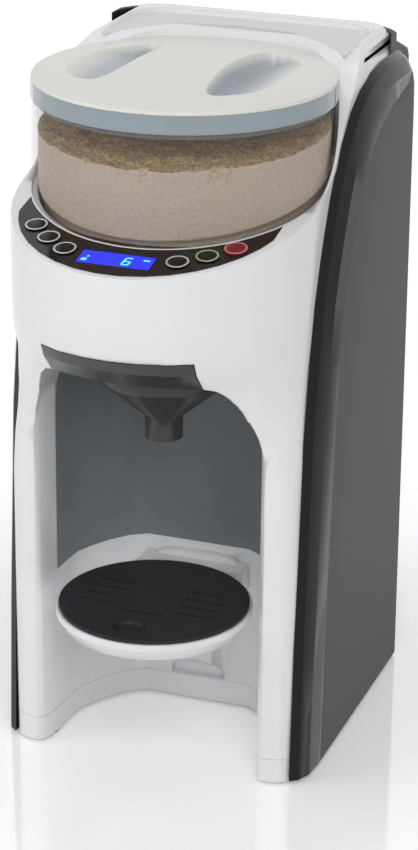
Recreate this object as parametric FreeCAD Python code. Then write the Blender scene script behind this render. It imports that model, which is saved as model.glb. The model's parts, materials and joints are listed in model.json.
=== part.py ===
"""Baby formula maker: every piece of the machine as a STEP solid, in millimetres.

Axes: X to the machine's left and right, Y from the leg fronts back, Z up from the floor.
The pieces are drawn with Y = 0 at the leg fronts and moved by SHIFT_Y when they are saved,
so that the saved box is centred on the origin.
"""
import FreeCAD, Part
import math, os

V = FreeCAD.Vector

# ---- driving dimensions, mm ------------------------------------------------
SHIFT_Y = -91.0          # moves the overall box onto the origin
HALF_W = 75.0            # white housing, half its width
BACK_Y = 165.0           # rear face of the white housing
MID_Y = 30.0             # where the straight sides turn into the rounded front
WALL = 2.4               # moulded wall
ROOF = 3.0               # moulded top skin
SEAM_Z = 14.1            # joint of plinth and housing
DECK_Z = 354.0           # top deck
CORNER_R = 24.0          # rear corners in plan
RING_Z, RING_Y, RING_SLOPE = 284.2, -23.5, 0.21      # sloped control surface
BAY_HALF, BAY_BACK, BAY_TOP = 55.4, 74.0, 219.0      # bottle bay
LINER_Z, LINER_Y = 93.0, 16.0                        # where the bay liner starts
CAN_Y, CAN_R = 49.4, 73.5                            # powder canister
CAN_TOP, LID_TOP, LID_CROWN = 338.2, 349.2, 3.6
STEP_R = CAN_R - 2.7     # canister below the control surface
WHEEL_R = 38.2           # dosing wheel
DOCK_Z = 262.0           # top of the dock the canister stands on
DROP_Y = 22.6            # axis of powder outlet, funnel and bottle
OUTLET_R = 7.2
FUNNEL_R, FUNNEL_TOP = 35.0, 235.0
PLATE_HALF = 38.0        # sloped front plate of the funnel
TRAY_Y, TRAY_R, TRAY_Z = 9.6, 49.5, 88.0
GEAR_M = 1.2             # gear module
TEETH = (24, 18, 10)     # drive gear, idler, motor pinion
GEAR_Z = (247.0, 254.0)
TANK_Y, TANK_DEEP, TANK_HALF = BACK_Y + 3.5, 67.5, 72.0
TANK_Z, TANK_TOP = 23.3, 320.0
VALVE_Y, FLAP_Y, FLAP_Z = TANK_Y + 31.5, TANK_Y + 2.5, TANK_TOP + 10.6
CHEEK_X = (HALF_W, HALF_W + 4, HALF_W + 7.4, HALF_W + 8.8)     # rolled edge of the side covers
KEY_FAN = ((37.5, 8.7), (27.8, 11.2), (18.6, 14.2))  # keys: angle, gap to the canister
BUTTON_R = 5.6
DISPLAY = (-19.0, 17.0, -43.0, -31.7)

# (height, depth of the rounded front, squareness) of the housing outline
FRONT = ((SEAM_Z, 30, 10), (150, 30, 10), (168, 31, 7), (183, 34, 4.4), (194, 41, 3.1),
         (205, 51, 2.5), (218.5, 64, 2.15), (229, 76, 2.08), (238, 81.5, 2.04), (254, 84, 2), (360, 84, 2))
# top outline in the side view: depth, and share of the rise from the control surface to the deck
ROOF_RISE = ((25, 0), (31, 0.027), (38.6, 0.07), (44, 0.121), (54, 0.253), (61.5, 0.396), (68, 0.539),
             (76, 0.681), (84, 0.79), (91, 0.866), (108, 0.963), (125, 1), (200, 1))
# rounded inner edge of the right leg, and right half of the bottle bay, in plan
FLARE = ((61.6, -20), (61.6, 0), (58.4, 2.2), (56.6, 6.5), (55.4, 16))
BAY = ((55.4, 16), (55, 29), (53.9, 40), (51, 47), (47.9, 53), (44.4, 59), (36.8, 68.5), (28, BAY_BACK))
# edge of the side cover and of its grey panel in the side view
CHEEK = ((4, 2), (7.4, 74), (14.8, 180), (20.5, 216), (27.5, 249), (34, 267), (40.6, 282), (47, 295),
         (54, 306), (61.5, 316), (76, 330), (91, 338), (108, 342.4), (125, 344), (150, 344.4), (160, 341.5))
PANEL = ((27, 2), (30, 74), (38, 184), (44, 230), (51, 261), (57, 273), (68, 290),
         (76.5, 301.5), (89, 312), (105, 320), (122, 324), (148, 328), (160, 333), (175, 342))


# plan of the two finger scoops of the lid, from the canister axis
SCOOP_R = ((24.5, -46.5), (42.5, -34.2), (48.8, -19.7), (55.4, 3.4), (52.8, 23.4), (40, 46.4), (26.8, 49.5),
           (21.2, 36.5), (18.9, 18), (18.4, -1.5))
SCOOP_L = ((-29.8, -36.8), (-27.2, 6.5), (-25.9, 49.3), (-46.1, 31.2), (-58.8, 10.3), (-58.4, -7),
           (-53, -22), (-42.6, -34.3))
# sides that stand for a round up to each radius; only shafts and the bores they turn in are true rounds
FLATS = ((2.3, 6), (4.1, 10), (10, 12), (20, 16), (50, 28), (500, 36))


# ---- basic solids -----------------------------------------------------------
def box(x0, x1, y0, y1, z0, z1):
    return Part.makeBox(x1 - x0, y1 - y0, z1 - z0, V(x0, y0, z0))


def wire(points):
    return Part.makePolygon([V(*p) for p in points] + [V(*points[0])])


def turns(r, n=0):
    """Angles of the corners of the polygon that stands for a round of radius r."""
    n = n or next(sides for limit, sides in FLATS if r < limit)
    return [math.pi * (2 * k + 1) / n for k in range(n)]


def rod(at, way, length, r, n=0):
    """Many-sided bar from a point, along a unit direction."""
    side = V(0, 1, 0) if abs(way.x) > 0.5 else V(1, 0, 0)
    up = way.cross(side)
    rim = [tuple(at + side * (r * math.cos(a)) + up * (r * math.sin(a))) for a in turns(r, n)]
    return Part.Face(wire(rim)).extrude(way * length)


def cyl(x, y, z0, z1, r, n=0):
    return rod(V(x, y, z0), V(0, 0, 1), z1 - z0, r, n)


def shaft(y, z0, z1, r):
    """True round on an upright axis at X = 0."""
    return Part.makeCylinder(r, z1 - z0, V(0, y, z0))


def tube(x, y, z0, z1, r_out, r_in):
    return cyl(x, y, z0, z1, r_out).cut(cyl(x, y, z0 - 1, z1 + 1, r_in))


def prism(plan, z0, z1):
    """Plan outline raised from z0 to z1."""
    return Part.Face(wire([(x, y, z0) for x, y in plan])).extrude(V(0, 0, z1 - z0))


def slab(side, x0, x1):
    """Side-view outline (y, z) carried from x0 to x1."""
    return Part.Face(wire([(x0, y, z) for y, z in side])).extrude(V(x1 - x0, 0, 0))


def front_slab(front, y0, y1):
    """Front-view outline (x, z) carried from y0 to y1."""
    return Part.Face(wire([(x, y0, z) for x, z in front])).extrude(V(0, y1 - y0, 0))


def fuse(*shapes):
    first = shapes[0]
    return first.fuse(list(shapes[1:])).removeSplitter() if len(shapes) > 1 else first


def cut(base, *tools):
    return base.cut(list(tools)) if tools else base


def mirror(shape):
    return shape.mirror(V(0, 0, 0), V(1, 0, 0))


def both(right):
    """Closed symmetric outline from the points of its right half, front first."""
    return list(right) + [(-x, y) for x, y in reversed(right)]


def grown(points, amount):
    """Open outline moved sideways by amount, to the right of its direction."""
    out = []
    for i, (x, y) in enumerate(points):
        ax, ay = points[max(i - 1, 0)]
        bx, by = points[min(i + 1, len(points) - 1)]
        n = math.hypot(bx - ax, by - ay)
        out.append((x + (by - ay) / n * amount, y - (bx - ax) / n * amount))
    return out


def arc(x, y, r, a0, a1, n):
    step = math.radians(a1 - a0) / n
    return [(x + r * math.cos(math.radians(a0) + i * step),
             y + r * math.sin(math.radians(a0) + i * step)) for i in range(n + 1)]


def patch(a, b, c, d):
    """Four-cornered patch of a skin: one flat face, or two triangles where it is twisted."""
    a, b, c, d = (V(*p) for p in (a, b, c, d))
    flat = abs((b - a).cross(c - a).normalize().dot(d - a)) < 1e-8
    corners = [(a, b, c, d)] if flat else [(a, b, c), (a, c, d)]
    return [Part.Face(wire([tuple(p) for p in face])) for face in corners]


def stack(rows):
    """Solid through closed rings of equally many points."""
    faces = [Part.Face(wire(rows[0])), Part.Face(wire(rows[-1]))]
    for low, high in zip(rows, rows[1:]):
        for k in range(len(low)):
            faces += patch(low[k - 1], low[k], high[k], high[k - 1])
    return Part.Solid(Part.Shell(faces))


def turned(y, profile, n=0):
    """Closed (radius, z) outline turned in flats about an upright axis at X = 0."""
    angles = turns(max(r for r, z in profile), n)
    rows = [[(r * math.cos(a), y + r * math.sin(a), z) for a in angles] for r, z in profile]
    faces = []
    for i, (r, _) in enumerate(profile):
        low, high = rows[i - 1], rows[i]
        for k in range(len(angles)):
            corners = [low[k - 1]] * (profile[i - 1][0] > 0) + [low[k], high[k]] + [high[k - 1]] * (r > 0)
            if r > 0 or profile[i - 1][0] > 0:
                faces.append(Part.Face(wire(corners)))
    return Part.Solid(Part.Shell(faces)).removeSplitter()


def along_axis(way):
    """The axis that a direction lies nearest to."""
    return max((V(1, 0, 0), V(0, 1, 0), V(0, 0, 1)), key=lambda axis: abs(axis.dot(way)))


def hose(points, r, rings=12, sides=6):
    """Six-sided bar along a smooth line, mitred at each bend and square at its ends."""
    line = Part.BSplineCurve()
    line.interpolate([V(*p) for p in points])
    first, last = line.FirstParameter, line.LastParameter
    at = [line.value(first + (last - first) * i / rings) for i in range(rings + 1)]
    ways = [(b - a).normalize() for a, b in zip(at, at[1:])]
    facing = [along_axis(ways[0])] + [a + b for a, b in zip(ways, ways[1:])] + [along_axis(ways[-1])]
    side = facing[0].cross(V(0.3, 0.2, 0.9)).normalize()
    up = facing[0].cross(side)
    rim = [at[0] + side * (r * math.cos(a)) + up * (r * math.sin(a)) for a in turns(r, sides)]
    rows = [[tuple(p) for p in rim]]
    for way, face, end in zip(ways, facing[1:], at[1:]):
        rim = [p + way * ((end - p).dot(face) / way.dot(face)) for p in rim]
        rows.append([tuple(p) for p in rim])
    return stack(rows)


# ---- the sloped control surface ----------------------------------------------
def ring_z(y):
    return RING_Z + RING_SLOPE * (y - RING_Y)


def layer(high, low, y0=-80.0, y1=140.0):
    """Everything between two depths measured from the control surface."""
    side = [(y0, ring_z(y0) + low), (y1, ring_z(y1) + low), (y1, ring_z(y1) + high), (y0, ring_z(y0) + high)]
    return slab(side, -90, 90)


def pin(x, y, high, low, r, n=16):
    """Round pin square to the control surface, between two depths."""
    tilt = math.atan(RING_SLOPE)
    up = V(0, -math.sin(tilt), math.cos(tilt))
    return rod(V(x, y, ring_z(y)) + up * low, up, high - low, r, n)


def keys():
    """Centres of the keys in plan, left to right."""
    right = [((CAN_R + gap) * math.sin(math.radians(a)), CAN_Y - (CAN_R + gap) * math.cos(math.radians(a)))
             for a, gap in KEY_FAN]
    return [(-x, y) for x, y in right] + right[::-1]


def crescent(r_front, gap, z0=240, z1=330):
    """Crescent in plan between the front of the housing and the canister, clear of it by gap."""
    ends = box(-64, 64, -80, 12, z0, z1)
    return cyl(0, 16, z0, z1, r_front).common(ends).cut(cyl(0, CAN_Y, z0 - 1, z1 + 1, CAN_R + gap))


# ---- housing outline ----------------------------------------------------------
def outline(depth, power, inset, back, coarse=1):
    """Plan of the housing: squared-off rounded front, straight sides and back."""
    a, b = HALF_W - inset, depth - inset
    angles = (-90, -86.5, -81, -73, -63, -52, -41, -30, -20, -10, 0)
    left = [(a * math.sin(math.radians(t)), t) for t in angles[::coarse]]
    pts = [(x, MID_Y - b * (1 - abs(x / a) ** power) ** (1 / power)) for x, t in left]
    front = pts + [(-x, y) for x, y in reversed(pts[:-1])]
    return [(-a, back)] + front + [(a, back)]


def body(inset, z0, back, coarse=1):
    """Housing block from z0 up, drawn in by inset all round; coarse for skins that nobody sees."""
    levels = [(max(z, z0), d, n) for z, d, n in FRONT]
    return stack([[(x, y, z) for x, y in outline(d, n, inset, back, coarse)] for z, d, n in levels])


def above_roof(drop):
    """Everything above the top outline of the housing."""
    start = ring_z(ROOF_RISE[0][0])
    line = [(-80, ring_z(-80))] + [(y, start + (DECK_Z - start) * share) for y, share in ROOF_RISE]
    side = [(y, z - drop) for y, z in line] + [(200, DECK_Z + 60), (-80, DECK_Z + 60)]
    return slab(side, -100, 100)


def bay(grow):
    """Bottle bay, its walls moved outward by grow."""
    plan = grown(BAY, grow)
    plan[-1] = (BAY[-1][0] + 0.5 * grow, BAY_BACK + grow)
    edge = [(BAY_HALF + grow, -90), (BAY_HALF + grow, 16)] + plan[1:]
    straight = prism(both(edge), -2, 300)
    arch = [(BAY_HALF + grow, -2), (BAY_HALF + grow, 183)]
    for a in (18, 36, 54, 72, 90):
        c, s = math.cos(math.radians(a)), math.sin(math.radians(a))
        arch.append((PLATE_HALF + (BAY_HALF - PLATE_HALF + grow) * c, 183 + (BAY_TOP - 183 + grow) * s))
    return straight.common(front_slab(both(arch), -90, 90))


def leg_room(grow):
    """Bay and the rounded inner front edges of the legs, moved outward by grow."""
    arch = [(62 + grow, -2), (62 + grow, 158), (60.6 + grow, 174), (58 + grow, 187), (54.5 + grow, 197)]
    flare = prism(both(grown(FLARE, grow)), -2, 230).common(front_slab(both(arch), -90, 90))
    return fuse(bay(grow), flare)


def pocket(clear_top, clear_low, low_z, n=0):
    """Room for the canister: wide above the control surface, narrower below it."""
    wide = cyl(0, CAN_Y, 250, 420, clear_top, n).cut(layer(-2.0, -90))
    return fuse(wide, cyl(0, CAN_Y, low_z, 330, clear_low, n))


def rear_corners(grow, z0, z1):
    """Block with the rounded rear corners of the housing."""
    r = CORNER_R + grow
    x, y = HALF_W - CORNER_R, BACK_Y - CORNER_R
    return prism(both([(HALF_W + grow, -80)] + arc(x, y, r, 0, 90, 6)), z0, z1)


def liner_zone():
    """Walls and ceiling of the bay that the grey liner takes over."""
    skin = bay(WALL).cut(bay(0))
    return skin.common(box(-60, 60, LINER_Y, 80, LINER_Z, 230))


def funnel_slot():
    return box(-36.6, 36.6, -90, 60, 190, 224)


def arched(half, width, foot, top, y0, y1):
    """Arched rib: an upside-down U seen from the front, its legs down to foot."""
    out = [(half, foot)] + [(half * math.cos(math.radians(a)), top - 5 + 5 * math.sin(math.radians(a)))
                            for a in (0, 30, 60, 90)]
    inn = [(x * (half - width) / half, z - width) for x, z in out]
    inn[0] = (inn[0][0], foot)
    loop = both(out)
    hole = both(inn)
    return front_slab(loop, y0, y1).cut(front_slab(hole, y0 - 1, y1 + 1))


# ---- fixed pieces ---------------------------------------------------------------
def base_plinth():
    plan = outline(30, 10, 0, TANK_Y - 0.5)
    inner = outline(30, 10, WALL, TANK_Y - 0.5 - WALL)
    solid = prism(plan, 1.2, SEAM_Z).cut(leg_room(0))
    hollow = prism(inner, 3.6, SEAM_Z + 1).cut(leg_room(WALL))
    stems = [cyl(s * 64, 16, 0, 5, 2.5) for s in (-1, 1)]
    return cut(solid, hollow, hose_hole(), *stems)


def hose_hole():
    return rod(V(10, BACK_Y - 5, 10), V(0, 1, 0), 12, 3.4)


def front_shell():
    outer = body(0, SEAM_Z, BACK_Y).cut(above_roof(0)).common(rear_corners(0, 0, 400))
    w, top = HALF_W + 0.2, DECK_Z + 0.1
    tunnel = both([(w, 0), (w, top - 14), (w - 1.4, top - 8), (w - 4.6, top - 3.3), (w - 9.2, top - 0.5), (w - 15, top)])
    outer = outer.common(front_slab(tunnel, -90, 200))
    inner = body(WALL, SEAM_Z - 1, BACK_Y + 1, 2).cut(above_roof(ROOF))
    walls = pocket(CAN_R + 3.6, STEP_R + 3.5, DOCK_Z, 20)
    block = box(-22, 22, BAY_BACK - 4, BAY_BACK + 7, SEAM_Z - 2, LINER_Z)
    under_deck = box(-HALF_W, HALF_W, 88, 200, DECK_Z - 5, DECK_Z + 50)
    inner = cut(inner, leg_room(WALL), walls, block, under_deck)
    shell = cut(outer, inner, leg_room(0), pocket(CAN_R + 0.6, STEP_R + 0.4, 250))
    seat = crescent(67.3, 1.7).common(layer(2, -1.6))
    holes = [pin(x, y, 3, -8, BUTTON_R + 0.5, 12) for x, y in keys()]
    opening = box(-PLATE_HALF - 0.5, PLATE_HALF + 0.5, -90, -8, 217, 236)
    sockets = [arched(14.9, 4.5, top - 8.8, top, BAY_BACK - 1, BAY_BACK + 4) for top in (23.5, 81.5)]
    return cut(shell, liner_zone(), seat, opening, funnel_slot(), deck_plan(3.2), *(holes + sockets))


def bay_liner():
    return liner_zone().cut(funnel_slot())


def deck_plan(deep):
    """Shallow flat let into the top deck."""
    plan = both([(64, 96), (64, 140)] + arc(46, 139, 18, 10, 90, 4))
    return prism(plan, DECK_Z - deep, DECK_Z + 20).cut(cyl(0, CAN_Y, DECK_Z - 40, DECK_Z + 40, CAN_R + 9))


def deck_inlay():
    return deck_plan(3.2).common(box(-80, 80, 0, 200, DECK_Z - 3.2, DECK_Z - 2.2))


def cheek_outline(level):
    """Edge of the side cover at one of the levels of its rolled rim."""
    front = (0, 3, 10, 21)[level]
    back = (0, 0.6, 1.6, 6)[level]
    pts = grown(list(CHEEK), front)
    pts[0] = (pts[0][0], 2 + back * 0.2)
    pts[-2:] = [(154 - 0.2 * front, 343.8 - front), (161.5 - back, 341 - front)]
    return pts + [(164.6 - back, 335 - front), (165 - back, 200), (167.5 - back, 2 + back * 0.2)]


def cheek():
    """Whole right-hand side cover."""
    return stack([[(x, y, z) for y, z in cheek_outline(i)] for i, x in enumerate(CHEEK_X)])


def panel_prism(inset, x0, x1):
    pts = grown(list(PANEL), inset)
    pts[0] = (pts[0][0], -5 + inset * 3)
    return slab(pts + [(175 - inset * 4, pts[0][1])], x0, x1)


def side_band():
    return cheek().cut(panel_prism(0, 70, 90))


def side_panel():
    plate = cheek().common(panel_prism(0, 70, 90))
    return plate.cut(panel_prism(3, 70, CHEEK_X[1] + 2.0))


def rear_cover():
    block = box(-HALF_W, HALF_W, BACK_Y - CORNER_R, BACK_Y + 3, SEAM_Z, 340)
    lip = rear_corners(3, 340, DECK_Z - 1.4).common(box(-HALF_W, HALF_W, BACK_Y - CORNER_R, BACK_Y + 5, 300, DECK_Z))
    hollow = rear_corners(0, 0, 400)
    return fuse(block, lip).cut(hollow)


def tank_plan(inset, n=12):
    """Plan of the water tank: flat front, squared-off rounded back."""
    pts = []
    a, b = TANK_HALF - inset, TANK_DEEP - inset
    for i in range(n + 1):
        t = math.pi * i / n
        c, s = math.cos(t), math.sin(t)
        pts.append((a * math.copysign(abs(c) ** 0.7, c), TANK_Y + b * abs(s) ** 0.7))
    return [(pts[0][0], TANK_Y + inset)] + pts[1:-1] + [(pts[-1][0], TANK_Y + inset)]


def tank_dock():
    plan = [(TANK_HALF, TANK_Y - 0.5)] + tank_plan(0)[1:-1] + [(-TANK_HALF, TANK_Y - 0.5)]
    solid = prism(plan, 1.2, TANK_Z - 0.3)
    hollow = prism(tank_plan(2.6), 3.6, TANK_Z - 2.9)
    feet = [cyl(s * 40, TANK_Y + 45.5, 0, 5, 2.5) for s in (-1, 1)]
    inlet = box(28, 52, TANK_Y + 21.5, TANK_Y + 71.5, 5.4, 18.6)
    return cut(solid, hollow, cyl(0, VALVE_Y, 12, 30, 12), inlet, hose_hole(), *feet)


def foot(x, y):
    return fuse(cyl(x, y, 0, 1.2, 8), cyl(x, y, 1.2, 4.6, 2.45))


def valve_seat():
    cup = fuse(cyl(0, VALVE_Y, 8, TANK_Z - 2.9, 14), cyl(0, VALVE_Y, TANK_Z - 2.9, TANK_Z - 0.3, 11.95))
    cup = cup.cut(cyl(0, VALVE_Y, 12, 30, 9.6))
    spigot = rod(V(4, VALVE_Y - 16, 11), V(0, 1, 0), 5.6, 2.6)
    return fuse(cup, cyl(0, VALVE_Y, 12, 25, 1.5), spigot)


def power_inlet():
    y = TANK_Y + 45.5
    block = box(28, 52, y, y + 10.5, 5.4, 18.6)
    well = box(31, 49, y + 3, y + 26, 8, 16)
    pins = [rod(V(x, y + 2, 12), V(0, 1, 0), 8, 1.2) for x in (36, 44)]
    return fuse(block.cut(well), *pins)


def control_panel():
    plate = crescent(67.1, 1.9).common(layer(0, -1.6))
    x0, x1, y0, y1 = DISPLAY
    holes = [pin(x, y, 3, -8, BUTTON_R + 0.3, 12) for x, y in keys()]
    return cut(plate, box(x0, x1, y0, y1, 250, 300), *holes)


def display_window():
    x0, x1, y0, y1 = DISPLAY
    return box(x0, x1, y0, y1, 250, 300).common(layer(-0.1, -1.6))


def display_module():
    x0, x1, y0, y1 = DISPLAY
    return box(x0 - 2, x1 + 2, y0 + 1, y1 + 2, 240, 300).common(layer(-3.0, -9.5))


def control_board():
    board = crescent(62, 5.1).common(layer(-9.5, -11.1))
    switches = [box(x - 3, x + 3, y - 3, y + 3, 240, 300).common(layer(-6.9, -9.5)) for x, y in keys()]
    return fuse(board, *switches)


def hopper_dock():
    plate = cyl(0, CAN_Y, 258, DOCK_Z, STEP_R + 1.2)
    return cut(plate, cyl(0, CAN_Y, 250, 270, 4.6), cyl(0, DROP_Y, 250, 270, OUTLET_R))


def gear_axes():
    """Distances behind the canister axis of drive gear, idler and pinion."""
    r = [GEAR_M * t / 2 for t in TEETH]
    return (CAN_Y, CAN_Y + r[0] + r[1], CAN_Y + r[0] + 2 * r[1] + r[2])


def gear(y, teeth, z0, z1, turn=0.0):
    """Spur gear with straight-sided teeth."""
    pitch, r = 2 * math.pi / teeth, GEAR_M * teeth / 2
    rim = []
    for i in range(teeth):
        for part, rad in ((-0.30, r - 1.3), (-0.12, r + 1.0), (0.12, r + 1.0), (0.30, r - 1.3)):
            a = turn + (i + part) * pitch
            rim.append((rad * math.cos(a), y + rad * math.sin(a)))
    return prism(rim, z0, z1)


def gear_case(inset, z0, z1):
    ya, _, yp = gear_axes()
    hull = both([(17.2 - inset, ya), (12.6 - inset, yp)])
    return fuse(prism(hull, z0, z1), cyl(0, ya, z0, z1, 17.2 - inset), cyl(0, yp, z0, z1, 12.6 - inset))


def gearbox_housing():
    ya, yi, yp = gear_axes()
    case = gear_case(0, 243, 258).cut(gear_case(1.3, 245.4, 260))
    holes = [cyl(0, ya, 240, 250, 3.1, 16), cyl(0, yp, 240, 250, 3.1)]
    return fuse(cut(case, *holes), cyl(0, yi, 244, 256, 2.4))


def drive_motor():
    yp = gear_axes()[2]
    can = fuse(cyl(0, yp, 205, 243, 12.4), cyl(0, yp, 201, 205, 5))
    return cut(can, cyl(0, yp, 238, 245, 1.6, 12))


def powder_chute():
    return tube(0, DROP_Y, 241, 258, 8.4, OUTLET_R)


def water_nozzle():
    block = fuse(box(20, 30, 38, 50, 246, 258), cyl(25, 40, 237.5, 246, 3.2))
    return cut(block, cyl(25, 40, 236, 250, 1.4))


def funnel_rail():
    return fuse(box(38.7, 42, -14, 62, 221.4, 227.4), box(37, 42, -14, 62, 225, 227.4))


def funnel_sensor():
    return fuse(box(-10, 10, 64, 70, 221.4, 232), box(-2, 2, 61.5, 64, 226, 229))


def water_pump():
    back, y = V(0, 1, 0), BACK_Y - 69
    motor = rod(V(22, y, 22), back, 30, 14)
    head = fuse(rod(V(22, y + 30, 22), back, 16, 16), box(8, 36, y + 2, y + 44, 3.6, 10))
    ports = (rod(V(14, y + 46, 14), back, 8, 3.2), cyl(30, y + 38, 34, 44, 3.2))
    return fuse(motor, head, *ports)


def flow_heater():
    y = BACK_Y - 18
    barrel = cyl(38, y, 66, 166, 15)
    saddles = [box(26, 50, y + 3, BACK_Y, z, z + 8) for z in (78, 146)]
    return fuse(barrel, cyl(38, y, 58, 174, 3.2), *saddles)


def inlet_hose():
    v, b = VALVE_Y, BACK_Y
    return hose([(4, v - 16.1, 11), (4.6, v - 20, 10.8), (8.6, b + 9.5, 10.2), (10, b + 5, 10), (10, b - 3, 10),
                 (11, b - 8, 10.8), (13.4, b - 12, 13.2), (14, b - 14.8, 14)], 2.9, 14)


def pump_hose():
    b = BACK_Y
    return hose([(30, b - 31, 44.2), (31, b - 29.5, 49), (36, b - 21.5, 53), (38, b - 18, 57.8)], 2.9, 7)


def feed_hose():
    b = BACK_Y
    return hose([(38, b - 18, 174.2), (38, b - 19, 195), (38, b - 37, 225), (34, b - 70, 244), (27, 66, 251),
                 (25, 50.3, 252)], 2.9, 13)


def power_board():
    board = box(-62, -8, 92, 152, 8.5, 10.1)
    posts = [cyl(x, y, 3.6, 8.5, 2.2) for x in (-57, -13) for y in (97, 147)]
    parts = [box(-52, -28, 100, 126, 10.1, 32), cyl(-18, 108, 10.1, 30, 6), cyl(-18, 124, 10.1, 30, 6),
             box(-54, -26, 134, 142, 10.1, 22)]
    return fuse(board, *(posts + parts))


# ---- canister and lid -------------------------------------------------------------
def hopper_bowl():
    solid = pocket(CAN_R, STEP_R, 276)
    solid.translate(V(0, 0, 0.4))
    upper = cyl(0, CAN_Y, 270, 420, CAN_R - 2.2).cut(layer(0.4, -90))
    above = box(-90, 90, -60, 160, CAN_TOP, 430)
    return cut(solid, above, upper, cyl(0, CAN_Y, 270, 420, STEP_R - 2.2))


def hopper_base():
    plate = fuse(cyl(0, CAN_Y, DOCK_Z + 0.3, 276.4, STEP_R), cyl(0, CAN_Y, 276.4, 279, STEP_R - 2.25))
    bowl = turned(CAN_Y, ((0, 271), (WHEEL_R + 5.8, 271), (STEP_R - 3.8, 279.5), (0, 279.5)))
    well = cyl(0, CAN_Y, 268, 280, WHEEL_R + 0.5)
    return cut(plate, bowl, well, cyl(0, CAN_Y, 250, 270, 7.3, 16), cyl(0, DROP_Y, 250, 270, OUTLET_R))


def powder_fill():
    body_r = CAN_R - 2.5
    heap = [(-40, 283.4), (130, 283.4), (130, 331), (60, 329), (20, 325), (-4, 321), (-40, 318)]
    low = cyl(0, CAN_Y, 270, 400, body_r).cut(layer(1.0, -90))
    return fuse(low, cyl(0, CAN_Y, 283.4, 330, STEP_R - 2.6)).common(slab(heap, -80, 80))


def dosing_wheel():
    disc = fuse(cyl(0, CAN_Y, 268.4, 273.4, WHEEL_R), shaft(CAN_Y, 264.0, 268.4, 7.0))
    pockets = [cyl((CAN_Y - DROP_Y) * math.cos(a), CAN_Y + (CAN_Y - DROP_Y) * math.sin(a), 260, 280, 6.4)
               for a in [math.radians(-90 + 60 * i) for i in range(6)]]
    return cut(disc, box(-1.4, 1.4, CAN_Y - 9, CAN_Y + 9, 263, 267.4), *pockets)


def stirrer():
    reach = STEP_R - 10.8
    arms = [box(-reach, reach, CAN_Y - 2, CAN_Y + 2, 279.4, 282)]
    arms.append(arms[0].copy())
    arms[1].rotate(V(0, CAN_Y, 0), V(0, 0, 1), 90)
    return fuse(cyl(0, CAN_Y, 273.4, 282.4, 7), *arms)


def drive_gear():
    ya = gear_axes()[0]
    stem = fuse(shaft(ya, 243.4, 245.7, 3.0), cyl(0, ya, 245.7, 257.4, 6), cyl(0, ya, 257.4, 262.6, 3.0))
    blade = box(-1.1, 1.1, ya - 3.8, ya + 3.8, 257.4, 266.4)
    return fuse(gear(ya, TEETH[0], *GEAR_Z, turn=math.pi / 2), stem, blade)


def idler_gear():
    yi = gear_axes()[1]
    turn = -math.pi / 2 + math.pi / TEETH[1]
    wheel = fuse(gear(yi, TEETH[1], *GEAR_Z, turn=turn), cyl(0, yi, 245.7, 247, 5))
    return wheel.cut(shaft(yi, 240, 260, 2.45))


def motor_pinion():
    yp = gear_axes()[2]
    turn = -math.pi / 2 + (TEETH[1] % 2) * math.pi / TEETH[2]
    wheel = gear(yp, TEETH[2], *GEAR_Z, turn=turn)
    return fuse(wheel, shaft(yp, 239, 245.7, 1.5), cyl(0, yp, 245.7, 247, 4))


def lid_cap():
    r, low = CAN_R + 0.3, CAN_TOP + 0.3
    crown = [(r, LID_TOP), (0.84 * r, LID_TOP + 0.4 * LID_CROWN), (0.5 * r, LID_TOP + 0.8 * LID_CROWN),
             (0, LID_TOP + LID_CROWN)]
    cap = turned(CAN_Y, [(0, low), (CAN_R - 2.5, low), (CAN_R - 2.5, LID_TOP - 1.6), (r, LID_TOP - 1.6)] + crown)
    under = box(-24, 15, CAN_Y - 58, CAN_Y + 58, low - 5, LID_TOP - 2)
    return cut(cap, scoop(SCOOP_R, 17, 57), scoop(SCOOP_L, -26, -60), under)


def scoop(plan, x_deep, x_out):
    """Finger scoop: deep along the grip bar, ramping up to the crown of the lid."""
    top, floor = LID_TOP + LID_CROWN, LID_TOP - 5.7
    ramp = [(x_deep, floor), (x_out, top - 0.8), (x_out, top + 9), (x_deep, top + 9)]
    return prism([(x, CAN_Y + y) for x, y in plan], floor - 2, top + 8).common(
        front_slab(ramp, CAN_Y - 60, CAN_Y + 60))


def lid_band():
    return tube(0, CAN_Y, CAN_TOP + 0.3, LID_TOP - 1.6, CAN_R, CAN_R - 2.5)


def lid_seal():
    return tube(0, CAN_Y, CAN_TOP - 2.6, CAN_TOP + 0.3, CAN_R - 2.3, CAN_R - 5.5)


# ---- funnel, tray, tank --------------------------------------------------------------
def funnel():
    bowl = turned(DROP_Y, ((9.5, 172), (9.5, 183.5), (33, 203.5), (FUNNEL_R, 207),
                           (FUNNEL_R, FUNNEL_TOP), (FUNNEL_R - 2, FUNNEL_TOP), (FUNNEL_R - 2, 208),
                           (31.4, 205.4), (9, 186.6), (7.5, 185), (7.5, 172)))
    skin = body(0, SEAM_Z, BACK_Y).cut(body(WALL + 0.2, SEAM_Z, BACK_Y))
    plate = skin.common(box(-PLATE_HALF, PLATE_HALF, -70, -12, 219.2, 235.5))
    flange = box(-38.2, 38.2, -60, 58, 221.7, 224.6).common(body(0.5, SEAM_Z, BACK_Y))
    ribs = [box(x - 1.2, x + 1.2, -60, -8, 221.7, 230).common(body(1, SEAM_Z, BACK_Y)) for x in (-22, 22)]
    carrier = fuse(flange, *ribs).cut(cyl(0, DROP_Y, 200, 240, FUNNEL_R - 1))
    return fuse(bowl, plate, carrier)


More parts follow.
